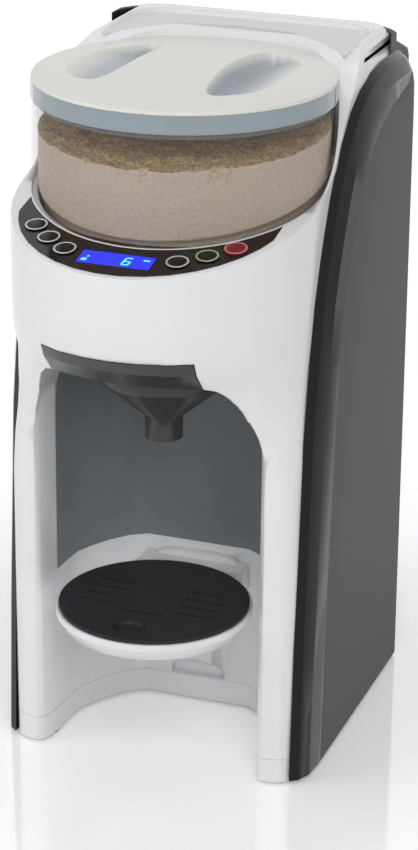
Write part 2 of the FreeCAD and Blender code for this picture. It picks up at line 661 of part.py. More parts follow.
def tray_dish():
    bowl = turned(TRAY_Y, ((0, 73.5), (39, 73.5), (45.6, 76.8), (TRAY_R, 83), (TRAY_R, 86.4),
                           (TRAY_R - 1.5, 86.4), (TRAY_R - 1.5, 85.2), (46.4, 85.2), (44, 79.6), (37.6, 76),
                           (0, 76)))
    neck = prism(both([(34, 44), (28, 60), (27.6, 73.6)]), 74.5, 85)
    tongue = front_slab(both([(28, 71), (28, 78), (25, 83.5), (19, 87.4), (10, 88.4)]), 69.6, 73.7)
    rib = arched(14.6, 3.9, 73.2, 81.2, 73.6, 77.4)
    return fuse(bowl, neck.cut(cyl(0, TRAY_Y, 70, 95, TRAY_R - 1.6)), tongue, rib)


def tray_grille():
    plate = cyl(0, TRAY_Y, 85.5, TRAY_Z, TRAY_R - 1.8)
    slots = []
    for side in (-1, 1):
        for row in range(-1, 3):
            y = TRAY_Y - 2 + 8.5 * row
            slots.append(box(side * 25 - 10, side * 25 + 10, y - 1.2, y + 1.2, 80, 90))
    slots.append(box(-10, 10, TRAY_Y - 17.2, TRAY_Y - 14.8, 80, 90))
    return cut(plate, cyl(0, TRAY_Y - 34, 80, 90, 8), *slots)


def water_tank():
    walls = prism(tank_plan(0), TANK_Z, TANK_TOP).cut(prism(tank_plan(2.4), TANK_Z + 2.6, TANK_TOP + 1))
    walls = walls.cut(cyl(0, VALVE_Y, TANK_Z - 3, TANK_Z + 7, 6))
    lugs = []
    for s in (-1, 1):
        lug = box(s * 43 - 3, s * 43 + 3, TANK_Y + 0.1, TANK_Y + 4.7, TANK_TOP - 6, FLAP_Z + 2.4)
        lugs.append(lug.cut(rod(V(s * 43 - 10, FLAP_Y, FLAP_Z), V(1, 0, 0), 20, 1.35, 12)))
    return fuse(walls, *lugs)


def tank_valve():
    top = TANK_Z + 3.7
    return turned(VALVE_Y, ((9.3, 13.4), (9.3, TANK_Z - 0.1), (5.95, TANK_Z), (5.95, top), (3.4, top),
                            (3.4, 21), (6.5, 18), (6.5, 13.4)))


def tank_lid():
    t, y = TANK_TOP, TANK_Y
    top = prism(tank_plan(0.2), t + 0.3, t + 11.4).cut(prism(tank_plan(2.6), t - 20, t + 8.8))
    notches = [box(s * 43 - 3.3, s * 43 + 3.3, y - 9, y + 6.1, t - 20, t + 20) for s in (-1, 1)]
    top = cut(top, box(-80, 80, y - 9, y + 0.7, t - 20, t + 20), box(-80, 80, y - 9, y + 3, t - 20, t + 2), *notches)
    plug = prism(tank_plan(3.4), t - 4, t + 9).cut(prism(tank_plan(5.4), t - 10, t + 10))
    plug = plug.common(box(-80, 80, y + 6.5, y + 80, t - 10, t + 10))
    knuckle = Part.makeCylinder(2.2, 79.2, V(-39.6, FLAP_Y, FLAP_Z), V(1, 0, 0))
    return fuse(top, plug, knuckle, rod(V(-45, FLAP_Y, FLAP_Z), V(1, 0, 0), 90, 1.2, 8))


def button(x, y):
    flange = BUTTON_R + 1.0
    catch = box(x - flange, x + flange, y - 2, y + 2, 240, 300).common(layer(-3.3, -4.3))
    return fuse(pin(x, y, 0.9, -4.3, BUTTON_R), catch, pin(x, y, -4.3, -6.0, 2.0, 6))


# ---- save ------------------------------------------------------------------------------
def pieces():
    names = ("base_plinth front_shell bay_liner deck_inlay rear_cover tank_dock valve_seat power_inlet "
             "control_panel display_window display_module control_board hopper_dock gearbox_housing "
             "drive_motor powder_chute water_nozzle funnel_sensor water_pump flow_heater inlet_hose "
             "pump_hose feed_hose power_board hopper_bowl hopper_base powder_fill dosing_wheel stirrer "
             "drive_gear idler_gear motor_pinion lid_cap lid_band lid_seal funnel tray_dish tray_grille "
             "water_tank tank_valve tank_lid").split()
    made = {name: globals()[name]() for name in names}
    for name, shape in (("side_band", side_band()), ("side_panel", side_panel()), ("funnel_rail", funnel_rail())):
        made[name + "_right"], made[name + "_left"] = shape, mirror(shape)
    for i, (x, y) in enumerate(keys()):
        made["button_%d" % (i + 1)] = button(x, y)
    for name, x, y in (("front_left", -64, 16), ("front_right", 64, 16), ("rear_left", -40, TANK_Y + 45.5),
                       ("rear_right", 40, TANK_Y + 45.5)):
        made["foot_" + name] = foot(x, y)
    return made


def main():
    os.makedirs("parts", exist_ok=True)
    for name, shape in pieces().items():
        shape.translate(V(0, SHIFT_Y, 0))
        shape.exportStep("parts/%s.step" % name)


main()
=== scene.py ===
"""Looks of the baby formula maker: finished pieces, materials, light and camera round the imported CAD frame."""

import json
import math

import bmesh
import bpy
from mathutils import Matrix, Vector, noise


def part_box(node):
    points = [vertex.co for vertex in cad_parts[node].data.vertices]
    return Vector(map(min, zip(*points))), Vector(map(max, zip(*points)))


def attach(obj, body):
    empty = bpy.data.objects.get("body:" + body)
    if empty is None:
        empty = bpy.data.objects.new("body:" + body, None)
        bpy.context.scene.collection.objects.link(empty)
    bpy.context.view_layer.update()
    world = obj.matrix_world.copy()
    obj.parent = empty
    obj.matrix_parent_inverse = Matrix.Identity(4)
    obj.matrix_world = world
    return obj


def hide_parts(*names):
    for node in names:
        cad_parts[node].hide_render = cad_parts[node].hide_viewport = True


bl_info = {
    "name": "Formula Maker Looks",
    "version": (1, 0, 0),
    "blender": (4, 5, 0),
    "location": "View3D > Sidebar > Formula Maker",
    "description": "Finished pieces and materials for a baby formula maker",
    "category": "Object",
}

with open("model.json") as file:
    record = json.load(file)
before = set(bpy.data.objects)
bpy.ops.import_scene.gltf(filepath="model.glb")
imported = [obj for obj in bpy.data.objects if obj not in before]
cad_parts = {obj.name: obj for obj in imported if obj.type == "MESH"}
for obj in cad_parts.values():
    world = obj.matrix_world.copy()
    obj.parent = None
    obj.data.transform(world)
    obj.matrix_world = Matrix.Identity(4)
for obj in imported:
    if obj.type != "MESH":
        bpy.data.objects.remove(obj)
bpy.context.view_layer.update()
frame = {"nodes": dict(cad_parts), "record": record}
NODES = frame["nodes"]
BODY = {n: b for b, ns in frame["record"]["behaviour"]["bodies"].items() for n in ns}

# ---- sizes, in metres unless a line says otherwise ---------------------------------
MM = 0.001
CAN_LOW, CAN_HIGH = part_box("hopper_bowl")
CAP_LOW, CAP_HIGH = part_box("lid_cap")
POWDER_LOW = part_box("powder_fill")[0]
DISPLAY_LOW, DISPLAY_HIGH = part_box("display_window")

CAN_Y = (CAN_LOW.y + CAN_HIGH.y) / 2
CAN_R = 0.0735                    # canister wall, outside
STEP_R = CAN_R - 0.0027           # canister below the control surface
CAP_R = CAN_R + 0.0003
SHIFT_Y = -0.091                  # front of the legs
PANEL_Y = SHIFT_Y + 0.016         # axis of the rounds of the control panel's outer edge
DROP_Y = SHIFT_Y + 0.0226         # centre of the funnel
TRAY_Y = SHIFT_Y + 0.0096         # centre of the tray
FINGER_Y = TRAY_Y - 0.034         # centre of the grille's finger hole
FUNNEL_R, TRAY_R = 0.035, 0.0495

SLOPE = 0.21                      # rise of the control surface towards the back
SLOPE_Z, SLOPE_Y = 0.2842, -0.1145
KEY_R, KEY_TOP = 0.0056, 0.0009   # key, and how far it stands above the control surface
# keys: degrees round the canister, millimetres from its wall
KEY_FAN = ((-37.5, 8.7), (-27.8, 11.2), (-18.6, 14.2), (18.6, 14.2), (27.8, 11.2), (37.5, 8.7))

DIGIT_W, DIGIT_H, STROKE = 0.0032, 0.0062, 0.0009
# strokes of the figure 6 and small marks beside it: centre x, y, width, height
SEGMENTS = ((0, DIGIT_H / 2, DIGIT_W, STROKE), (0, 0, DIGIT_W, STROKE), (0, -DIGIT_H / 2, DIGIT_W, STROKE),
            (-DIGIT_W / 2, DIGIT_H / 4, STROKE, DIGIT_H / 2), (-DIGIT_W / 2, -DIGIT_H / 4, STROKE, DIGIT_H / 2),
            (DIGIT_W / 2, -DIGIT_H / 4, STROKE, DIGIT_H / 2))
MARKS = ((-0.0205, -0.0022, 0.0028, 0.0022), (-0.0197, 0.0008, 0.0012, 0.0012), (0.0085, 0.0026, 0.0034, 0.0012))
STROKE_FILL, STROKE_THICK, LEAN = 0.94, 0.00016, 0.12  # share of its place that a stroke fills, thickness, lean
DIGIT_ACROSS, DIGIT_DOWN = 0.66, 0.0004                # share of the display's width, and below its middle

LID_CROWN = CAP_HIGH.z
LID_RIM = LID_CROWN - 0.0036
# plan of the two finger scoops of the lid, in millimetres from the canister's axis
SCOOP_RIGHT = ((24.5, -46.5), (42.5, -34.2), (48.8, -19.7), (55.4, 3.4), (52.8, 23.4), (40, 46.4),
               (26.8, 49.5), (21.2, 36.5), (18.9, 18), (18.4, -1.5))
SCOOP_LEFT = ((-29.8, -36.8), (-27.2, 6.5), (-25.9, 49.3), (-46.1, 31.2), (-58.8, 10.3), (-58.4, -7),
              (-53, -22), (-42.6, -34.3))
# each scoop with the x of its deepest and of its shallowest end, in millimetres
SCOOPS = ((SCOOP_RIGHT, 17.0, 57.0), (SCOOP_LEFT, -26.0, -60.0))
SCOOP_DEPTH, SCOOP_RISE = 7.6, 10.4    # millimetres under the rim, and up again to the shallow end
SCOOP_STEEP = 3.4                      # fall of the scoop's wall for each millimetre in from its outline

POWDER_R, POWDER_STEP_R = CAN_R - 0.0026, STEP_R - 0.0027   # powder above and below the canister's step
# levels of the rings that the powder is spun from; STEP_LEVEL is the one laid on the control surface
STEP_RINGS, MIDDLE_RING, TOP_RING, STEP_LEVEL = (0.300, 0.301), 0.308, 0.32, 0.2988
HEAP_FRONT, HEAP_RISE = 0.3195, 0.0085                      # level at the front, and rise to the back
FINE_LUMPS, BROAD_LUMPS = 150, 60                           # lumps to a metre, roughly
ROUND_CUTS = 3                                              # new points on each flat that stands for a round


def rounds(x, y, radii, flats):
    """Rounds that the CAD nodes draw with flats: axis x, y, radius, number of flats."""
    return [(x, y, r, flats) for r in radii]


CAN_ROUNDS = rounds(0, CAN_Y, (CAN_R + 0.0019, CAN_R + 0.0006, CAP_R, CAN_R, CAN_R - 0.0022, CAN_R - 0.0025,
                               STEP_R + 0.0004, STEP_R, STEP_R - 0.0022, CAN_R + 0.009, 0.84 * CAP_R,
                               0.5 * CAP_R), 36)
PANEL_ROUNDS = rounds(0, PANEL_Y, (0.0671, 0.0673), 36)
FUNNEL_ROUNDS = rounds(0, DROP_Y, (FUNNEL_R, FUNNEL_R - 0.001, FUNNEL_R - 0.002, 0.033, 0.0314, 0.0095, 0.009,
                                   0.0075), 28)
TRAY_ROUNDS = (rounds(0, TRAY_Y, (TRAY_R, TRAY_R - 0.0015, TRAY_R - 0.0018, 0.0464, 0.0456, 0.044, 0.039,
                                  0.0376), 28) + rounds(0, FINGER_Y, (0.008,), 12))

# ---- stage -------------------------------------------------------------------------
CAMERA_PLACE, CAMERA_AIM = (0.4390, -1.2137, 0.66425), (0.03471, -0.09895, 0.19373)
CAMERA_ROLL, CAMERA_LENS, CAMERA_SENSOR = 0.5407848, 113.08, 36.0   # degrees, millimetres
# lamps: name, place, width, height, watts
LAMPS = (("Key", (0.75, -1.5, 1.2), 0.9, 1.3, 15), ("Fill", (-1.5, -1.0, 0.8), 0.9, 1.4, 9),
         ("Top", (0, 0.3, 1.9), 1.4, 1.4, 6))
LAMP_AIM = (0, 0, 0.2)
WORLD_LIGHT = 0.36
FLOOR_GLOW, FLOOR_NEAR, FLOOR_FAR = 0.22, 0.17, 0.31   # its glow, and the reach over which its mirroring fades


def srgb(r, g, b):
    """Colour as seen on a screen, 0 to 255, as the linear colour that a material takes."""
    return tuple((c / 255 / 12.92) if c <= 10 else ((c / 255 + 0.055) / 1.055) ** 2.4 for c in (r, g, b))


# ---- settings ----------------------------------------------------------------------
def size(name, text, value):
    """A length that the user may change."""
    return bpy.props.FloatProperty(name=name, description=text, default=value, unit="LENGTH", subtype="DISTANCE")


def colour(name, text, value):
    """A colour that the user may change."""
    return bpy.props.FloatVectorProperty(name=name, description=text, default=value, size=3, min=0, max=1,
                                         subtype="COLOR")


class FormulaMakerSizes(bpy.types.PropertyGroup):
    """Sizes of the fine forms"""
    edge: size("Moulded edge", "Radius of the soft edges of the white mouldings", 0.0012)
    fine_edge: size("Fine edge", "Radius of the edges of the keys", 0.0004)
    ring: size("Key ring", "Width of the bright ring round each key", 0.0009)
    grain: size("Powder grain", "Height of the lumps on top of the powder", 0.0022)


class FormulaMakerColours(bpy.types.PropertyGroup):
    """Colours of the finishes that show"""
    shell: colour("Housing", "White of the housing, plinth and tray", srgb(232, 233, 235))
    lid: colour("Lid", "Warm white of the canister lid", srgb(222, 221, 216))
    # scoop is painted shade: the cooler grey laid into the lid's finger scoops, more of it the deeper they go
    scoop: colour("Painted scoop shade", "Cooler grey down in the lid's finger scoops", srgb(178, 183, 190))
    # upper_bay_grey: a darker grey on the upper walls of the bottle bay
    upper_bay_grey: colour("Upper bay grey", "Grey of the lining of the bottle bay", srgb(130, 134, 137))
    deck: colour("Deck flat", "Light grey of the flat on the top deck", srgb(222, 223, 224))
    band: colour("Black band", "Gloss black band round the side covers", srgb(16, 16, 15))
    panel: colour("Side panel", "Dark grey of the side panels", srgb(74, 74, 72))
    cover: colour("Back cover", "Black of the back cover and tank dock", srgb(26, 26, 27))
    control: colour("Control panel", "Brown-black of the control panel", srgb(24, 15, 12))
    display: colour("Display", "Blue of the lit display", srgb(24, 40, 225))
    digit: colour("Digit", "Colour of the number on the display", srgb(90, 200, 255))
    key: colour("Key face", "Black face of the keys", srgb(16, 14, 14))
    silver: colour("Silver rings", "Rings of the first four keys", srgb(205, 205, 205))
    green: colour("Green ring", "Ring of the fifth key", srgb(176, 196, 150))
    red: colour("Red key", "Face of the sixth key", srgb(122, 34, 38))
    ring_red: colour("Red ring", "Ring of the sixth key", srgb(206, 128, 132))
    funnel: colour("Funnel", "Smoke grey of the funnel", srgb(62, 63, 62))
    grille: colour("Grille", "Dark grey of the slotted grille", srgb(50, 52, 55))
    powder: colour("Powder", "Cream of the powder against the wall", srgb(214, 198, 182))
    powder_top: colour("Powder top", "Toasted tone of the loose powder on top", srgb(206, 176, 132))


# ---- meshes ------------------------------------------------------------------------
def finish_mesh(bm, name, angle, replaces=(), body=None, slot=None):
    """Turns a bmesh into a piece of the scene, smooth up to angle degrees, for CAD nodes or a body. The slot is not
    used.
    """
    mesh = bpy.data.meshes.new(name)
    bm.to_mesh(mesh)
    bm.free()
    mesh.polygons.foreach_set("use_smooth", [True] * len(mesh.polygons))
    mesh.set_sharp_from_angle(angle=math.radians(angle))
    obj = bpy.data.objects.new(name, mesh)
    bpy.context.scene.collection.objects.link(obj)
    if replaces:
        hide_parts(*replaces)
        body, slot = BODY[replaces[0]], slot_of(replaces[0])
    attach(obj, body)
    return obj


def slot_of(node):
    """Material slot that the record gives a CAD node."""
    for part in frame["record"]["subparts"]:
        if part["node"] == node:
            return part["material_slot"]
    raise ValueError("no slot for " + node)


def merged_copy(node, flat):
    """A bmesh of a CAD node with its loose triangles joined and its flat faces made whole."""
    bm = bmesh.new()
    bm.from_mesh(NODES[node].data)
    bmesh.ops.remove_doubles(bm, verts=bm.verts, dist=2e-6)
    bmesh.ops.dissolve_limit(bm, angle_limit=math.radians(flat), verts=bm.verts, edges=bm.edges)
    return bm


def slope_z(y):
    """Height of the control surface."""
    return SLOPE_Z + SLOPE * (y - SLOPE_Y)


def slope_matrix(x, y):
    """Place of a key or the display on the sloped control surface."""
    return Matrix.Translation((x, y, slope_z(y))) @ Matrix.Rotation(math.atan(SLOPE), 4, "X")


def to_circles(bm, circles):
    """Moves the points that lie between a circle and the flats drawn for it out to the circle."""
    found = {}
    for v in bm.verts:
        for x, y, r, flats in circles:
            d = math.hypot(v.co.x - x, v.co.y - y)
            if r * math.cos(math.pi / flats) - 2e-5 <= d <= r + 2e-5:
                v.co.x, v.co.y = x + (v.co.x - x) * r / d, y + (v.co.y - y) * r / d
                found[v] = (x, y, r, flats)
                break
    return found


def make_round(bm, circles):
    """Turns the flats that stand for rounds back into smooth rounds."""
    found = to_circles(bm, circles)
    chords = []
    for e in bm.edges:
        a, b = e.verts
        if a in found and found.get(b) == found[a]:
            r, flats = found[a][2:]
            gap = math.hypot(a.co.x - b.co.x, a.co.y - b.co.y)
            if 0.2 * r * math.pi / flats < gap < 2.1 * r * math.pi / flats:
                chords.append(e)
    if chords:
        bmesh.ops.subdivide_edges(bm, edges=chords, cuts=ROUND_CUTS, use_grid_fill=True)
        to_circles(bm, circles)


def smooth_copy(node, name, angle, circles=()):
    """A finished piece from a CAD node, smooth-shaded between its sharp edges."""
    bm = merged_copy(node, 0.2)
    if circles:
        make_round(bm, circles)
    return finish_mesh(bm, name, angle, replaces=(node,))


def spun(bm, outline, x, y, steps):
    """Spins an outline right round an upright axis and closes its seam."""
    bmesh.ops.spin(bm, geom=outline, cent=(x, y, 0), axis=(0, 0, 1), angle=2 * math.pi, steps=steps,
                   use_merge=True, use_duplicate=False)
    bmesh.ops.remove_doubles(bm, verts=bm.verts, dist=1e-6)


def turned(bm, profile, x, y, steps):
    """Closed (radius, z) outline spun into a ring about an upright axis."""
    verts = [bm.verts.new((x + r, y, z)) for r, z in profile]
    edges = [bm.edges.new((verts[i], verts[(i + 1) % len(verts)])) for i in range(len(verts))]
    spun(bm, verts + edges, x, y, steps)
    bmesh.ops.recalc_face_normals(bm, faces=bm.faces)


def turned_block(profile, steps):
    """A bmesh of an open (radius, z) outline, both ends on the Z axis, spun into a solid."""
    bm = bmesh.new()
    verts = [bm.verts.new((r, 0, z)) for r, z in profile]
    edges = [bm.edges.new(pair) for pair in zip(verts, verts[1:])]
    spun(bm, verts + edges, 0, 0, steps)
    return bm


# ---- shader nodes ------------------------------------------------------------------
def new_material(name):
    """An empty finish: material, nodes, link function and its Principled shader."""
    mat = bpy.data.materials.new(name)
    mat.use_nodes = True
    nodes = mat.node_tree.nodes
    return mat, nodes, mat.node_tree.links.new, nodes["Principled BSDF"]


def set_up(shader, **values):
    """Sets plain numbers and colours on a node's own sockets, named with underscores."""
    for name, value in values.items():
        shader.inputs[name.replace("_", " ")].default_value = value


def noise_on(nodes, link, scale=None, detail=2.0):
    """Noise laid on a piece's own coordinates."""
    tex = nodes.new("ShaderNodeTexNoise")
    if scale is not None:
        tex.inputs["Scale"].default_value = scale
    tex.inputs["Detail"].default_value = detail
    link(nodes.new("ShaderNodeTexCoord").outputs["Object"], tex.inputs["Vector"])
    return tex


def worked(nodes, link, operation, *values, vector=False, clamp=False):
    """Result of a sum, with each input linked or set."""
    node = nodes.new("ShaderNodeVectorMath" if vector else "ShaderNodeMath")
    node.operation = operation
    if clamp:
        node.use_clamp = True
    for place, value in zip(node.inputs, values):
        if isinstance(value, bpy.types.NodeSocket):
            link(value, place)
        else:
            place.default_value = value
    return node.outputs["Value" if operation in ("DOT_PRODUCT", "LENGTH") or not vector else "Vector"]


def ranged(nodes, link, value, start=0.0, end=1.0, low=0.0, high=1.0):
    """Value between start and end carried over to low and high, and held there."""
    node = nodes.new("ShaderNodeMapRange")
    for name, number in (("From Min", start), ("From Max", end), ("To Min", low), ("To Max", high)):
        node.inputs[name].default_value = number
    link(value, node.inputs["Value"])
    return node.outputs["Result"]


def blended(nodes, link, share, first, second):
    """Colour between first and second, each a linked or plain colour."""
    mix = nodes.new("ShaderNodeMix")
    mix.data_type = "RGBA"
    for name, value in (("A", first), ("B", second)):
        if isinstance(value, bpy.types.NodeSocket):
            link(value, mix.inputs[name])
        else:
            mix.inputs[name].default_value = (*value, 1)
    link(share, mix.inputs["Factor"])
    return mix.outputs["Result"]


def seen_rays(nodes, link):
    """One for camera, glossy and transmission rays, zero for the rays that light the object."""
    path = nodes.new("ShaderNodeLightPath")
    through = worked(nodes, link, "ADD", path.outputs["Is Camera Ray"], path.outputs["Is Transmission Ray"],
                     clamp=True)
    return worked(nodes, link, "ADD", path.outputs["Is Glossy Ray"], through, clamp=True)


def socket(group, name, kind, default=None, out=False):
    """Adds an input or output to a node group."""
    item = group.interface.new_socket(name=name, in_out="OUTPUT" if out else "INPUT", socket_type=kind)
    if default is not None:
        item.default_value = default


def moulded_skin():
    """Fine grain and slight mottling of moulded plastic: height, roughness and tone."""
    if "Moulded skin" in bpy.data.node_groups:
        return bpy.data.node_groups["Moulded skin"]
    group = bpy.data.node_groups.new("Moulded skin", "ShaderNodeTree")
    socket(group, "Color", "NodeSocketColor", (0.8, 0.8, 0.8, 1))
    socket(group, "Roughness", "NodeSocketFloat", 0.4)
    socket(group, "Grain Scale", "NodeSocketFloat", 900.0)
    socket(group, "Mottle", "NodeSocketFloat", 0.04)
    socket(group, "Color", "NodeSocketColor", out=True)
    socket(group, "Roughness", "NodeSocketFloat", out=True)
    socket(group, "Height", "NodeSocketFloat", out=True)
    nodes, link = group.nodes, group.links.new
    given, out = nodes.new("NodeGroupInput").outputs, nodes.new("NodeGroupOutput").inputs
    fine = noise_on(nodes, link)
    broad = noise_on(nodes, link, 14.0, 4.0)
    link(given["Grain Scale"], fine.inputs["Scale"])
    spread = worked(nodes, link, "MULTIPLY_ADD", broad.outputs["Fac"], 2.0, -1.0)
    tone = worked(nodes, link, "MULTIPLY_ADD", spread, given["Mottle"], 1.0)
    hue = nodes.new("ShaderNodeHueSaturation")
    link(given["Color"], hue.inputs["Color"])
    link(tone, hue.inputs["Value"])
    link(hue.outputs["Color"], out["Color"])
    link(worked(nodes, link, "MULTIPLY", given["Roughness"], tone), out["Roughness"])
    link(fine.outputs["Fac"], out["Height"])
    return group


# ---- finishes ----------------------------------------------------------------------
def plastic(name, rgb, roughness, grain=900.0, depth=2e-5, coat=0.0, mottle=0.03, round_edge=0.0, metal=0.0,
            shine=0.4):
    """Moulded plastic or plain metal with grain, mottling and softened edges."""
    mat, nodes, link, shader = new_material(name)
    skin = nodes.new("ShaderNodeGroup")
    skin.node_tree = moulded_skin()
    set_up(skin, Color=(*rgb, 1), Roughness=roughness, Grain_Scale=grain, Mottle=mottle)
    link(skin.outputs["Color"], shader.inputs["Base Color"])
    link(skin.outputs["Roughness"], shader.inputs["Roughness"])
    bump = nodes.new("ShaderNodeBump")
    set_up(bump, Strength=0.5, Distance=depth)
    link(skin.outputs["Height"], bump.inputs["Height"])
    if round_edge:
        edge = nodes.new("ShaderNodeBevel")
        edge.samples = 6
        edge.inputs["Radius"].default_value = round_edge
        link(edge.outputs["Normal"], bump.inputs["Normal"])
    link(bump.outputs["Normal"], shader.inputs["Normal"])
    set_up(shader, Metallic=metal, Specular_IOR_Level=shine, Coat_Weight=coat, Coat_Roughness=0.05)
    return mat


def lid_with_painted_shade(name, rgb, painted_shade_rgb):
    """Satin lid plastic with painted shade: a cooler grey laid down in the finger scoops, more of it the deeper
    they go.
    """
    mat = plastic(name, rgb, 0.32, 1500, coat=0.15, mottle=0.015)
    nodes, link = mat.node_tree.nodes, mat.node_tree.links.new
    skin = next(n for n in nodes if n.type == "GROUP")
    coord, split = nodes.new("ShaderNodeTexCoord"), nodes.new("ShaderNodeSeparateXYZ")
    moved = worked(nodes, link, "SUBTRACT", coord.outputs["Object"], (0, CAN_Y, 0), vector=True)
    link(moved, split.inputs[0])
    level = worked(nodes, link, "MULTIPLY", moved, (1, 1, 0), vector=True)
    reach = worked(nodes, link, "DOT_PRODUCT", level, level, vector=True)
    fall = (LID_CROWN - LID_RIM) / CAP_R ** 2
    dome = worked(nodes, link, "MULTIPLY_ADD", reach, -fall, LID_CROWN)
    # painted shade: depth under the dome sets how much cooler grey is laid into the scoops
    depth = worked(nodes, link, "SUBTRACT", dome, split.outputs["Z"])
    share = ranged(nodes, link, depth, 0.0006, 0.005)
    middle = worked(nodes, link, "LESS_THAN", reach, (CAP_R - 0.004) ** 2)
    painted_shade_mask = worked(nodes, link, "MULTIPLY", share, middle)
    link(blended(nodes, link, painted_shade_mask, skin.outputs["Color"], painted_shade_rgb), nodes["Principled BSDF"].inputs["Base Color"])
    return mat


def clear(name, rgb, alpha, roughness=0.04):
    """Clear plastic, see-through by its alpha, with a faint haze."""
    mat, nodes, link, shader = new_material(name)
    haze = noise_on(nodes, link, 30.0)
    rough = ranged(nodes, link, haze.outputs["Fac"], low=roughness * 0.8, high=roughness * 1.4)
    link(rough, shader.inputs["Roughness"])
    set_up(shader, Base_Color=(*rgb, 1), Alpha=alpha, Coat_Weight=0.6, Coat_Roughness=0.02)
    return mat


def powder_material(colours):
    """Loose powder: toasted and lumpy on top, smooth and pale against the canister wall."""
    mat, nodes, link, shader = new_material("Powder")
    lumps = noise_on(nodes, link, 560.0, 6.0)
    split = nodes.new("ShaderNodeSeparateXYZ")
    link(nodes.new("ShaderNodeNewGeometry").outputs["Normal"], split.inputs[0])
    top = ranged(nodes, link, split.outputs["Z"], 0.25, 0.7)
    lump = ranged(nodes, link, lumps.outputs["Fac"], 0.36, 0.64, -1.0, 1.0)
    swing = ranged(nodes, link, top, low=0.06, high=0.42)
    vary = nodes.new("ShaderNodeHueSaturation")
    link(worked(nodes, link, "MULTIPLY_ADD", lump, swing, 1.0), vary.inputs["Value"])
    link(blended(nodes, link, top, colours.powder, colours.powder_top), vary.inputs["Color"])
    link(vary.outputs["Color"], shader.inputs["Base Color"])
    bump = nodes.new("ShaderNodeBump")
    set_up(bump, Strength=0.8, Distance=0.0012)
    link(lumps.outputs["Fac"], bump.inputs["Height"])
    link(bump.outputs["Normal"], shader.inputs["Normal"])
    set_up(shader, Roughness=0.95)
    return mat


def lit(name, rgb, strength):
    """A lit surface behind a polished window."""
    mat, nodes, link, shader = new_material(name)
    cloud = noise_on(nodes, link, 90.0)
    glow = nodes.new("ShaderNodeHueSaturation")
    link(ranged(nodes, link, cloud.outputs["Fac"], low=0.9, high=1.1), glow.inputs["Value"])
    set_up(glow, Color=(*rgb, 1))
    link(glow.outputs["Color"], shader.inputs["Base Color"])
    link(glow.outputs["Color"], shader.inputs["Emission Color"])
    set_up(shader, Emission_Strength=strength, Roughness=0.15)
    return mat


def material(name):
    """The finish called name, made on first use."""
    if name in bpy.data.materials:
        return bpy.data.materials[name]
    c = bpy.context.scene.formula_maker_colours
    edge = bpy.context.scene.formula_maker_sizes.edge
    made = {
        "Housing white": lambda n: plastic(n, c.shell, 0.22, 260, 1e-5, coat=0.2, mottle=0.012, round_edge=edge),
        # the lid's white, with painted shade down in its finger scoops
        "Lid white": lambda n: lid_with_painted_shade(n, c.lid, c.scoop),
        "Bay grey": lambda n: plastic(n, c.upper_bay_grey, 0.38, 1200, 3e-5, coat=0.1),
        "Deck grey": lambda n: plastic(n, c.deck, 0.5, 2200, 5e-5, mottle=0.02),
        "Gloss black": lambda n: plastic(n, c.band, 0.16, 300, 1e-5, mottle=0.02, shine=0.22),
        "Panel grey": lambda n: plastic(n, c.panel, 0.5, 1800, 8e-5, mottle=0.04, shine=0.15),
        "Cover black": lambda n: plastic(n, c.cover, 0.42, 1500, 5e-5, mottle=0.04, round_edge=0.0008, shine=0.2),
        "Control brown": lambda n: plastic(n, c.control, 0.08, 300, 5e-6, mottle=0.02, shine=0.3),
        "Smoke grey": lambda n: plastic(n, c.funnel, 0.2, 400, 1e-5, round_edge=0.0006, shine=0.3),
        "Grille black": lambda n: plastic(n, c.grille, 0.3, 500, round_edge=0.0005, shine=0.1),
        "Key black": lambda n: plastic(n, c.key, 0.2, depth=1e-5, mottle=0.02, shine=0.2),
        "Key red": lambda n: plastic(n, c.red, 0.22, depth=1e-5, mottle=0.02, shine=0.2),
        "Key ring": lambda n: plastic(n, c.silver, 0.3, depth=1e-5, mottle=0.02, metal=0.3),
        "Ring green": lambda n: plastic(n, c.green, 0.3, depth=1e-5, mottle=0.02, metal=0.3),
        "Ring red": lambda n: plastic(n, c.ring_red, 0.3, depth=1e-5, mottle=0.02, metal=0.2),
        "Display blue": lambda n: lit(n, c.display, 0.9),
        "Digit glow": lambda n: lit(n, c.digit, 1.0),
        "Canister clear": lambda n: clear(n, srgb(128, 116, 106), 0.13),
        "Band clear": lambda n: clear(n, srgb(150, 164, 172), 0.8, 0.1),
        "Tank clear": lambda n: clear(n, srgb(120, 138, 150), 0.45),
        "Nylon": lambda n: plastic(n, srgb(226, 222, 210), 0.45, 1500, 3e-5),
        "Hopper grey": lambda n: plastic(n, srgb(92, 88, 84), 0.45, 1500, 4e-5),
        "Steel can": lambda n: plastic(n, srgb(176, 178, 182), 0.3, 2500, mottle=0.05, metal=1.0),
        "Board green": lambda n: plastic(n, srgb(32, 96, 62), 0.4, 3000, 3e-5, coat=0.2, mottle=0.08),
        "Hose silicone": lambda n: plastic(n, srgb(206, 206, 202), 0.35, 1200, mottle=0.04),
        "Seal grey": lambda n: plastic(n, srgb(120, 120, 120), 0.6, 1500, 3e-5, mottle=0.04),
        "Foot rubber": lambda n: plastic(n, srgb(40, 40, 40), 0.85, 2500, 1e-4, mottle=0.08),
        "Powder": lambda n: powder_material(c),
    }
    return made[name](name)


def give(obj, mat):
    """Puts one finish on a piece."""
    obj.data.materials.clear()
    obj.data.materials.append(mat)


# ---- housing and covers ------------------------------------------------------------
class OBJECT_OT_maker_housing(bpy.types.Operator):
    """White housing, plinth, grey upper bay walls and deck flat"""
    bl_idname = "object.maker_housing"
    bl_label = "Housing"

    def execute(self, context):
        give(smooth_copy("front_shell", "housing_moulding", 28, CAN_ROUNDS + PANEL_ROUNDS),
             material("Housing white"))
        give(smooth_copy("base_plinth", "plinth_moulding", 28), material("Housing white"))
        give(smooth_copy("bay_liner", "upper_bay_grey_walls", 28), material("Bay grey"))
        give(smooth_copy("deck_inlay", "deck_flat", 28, CAN_ROUNDS), material("Deck grey"))
        return {"FINISHED"}


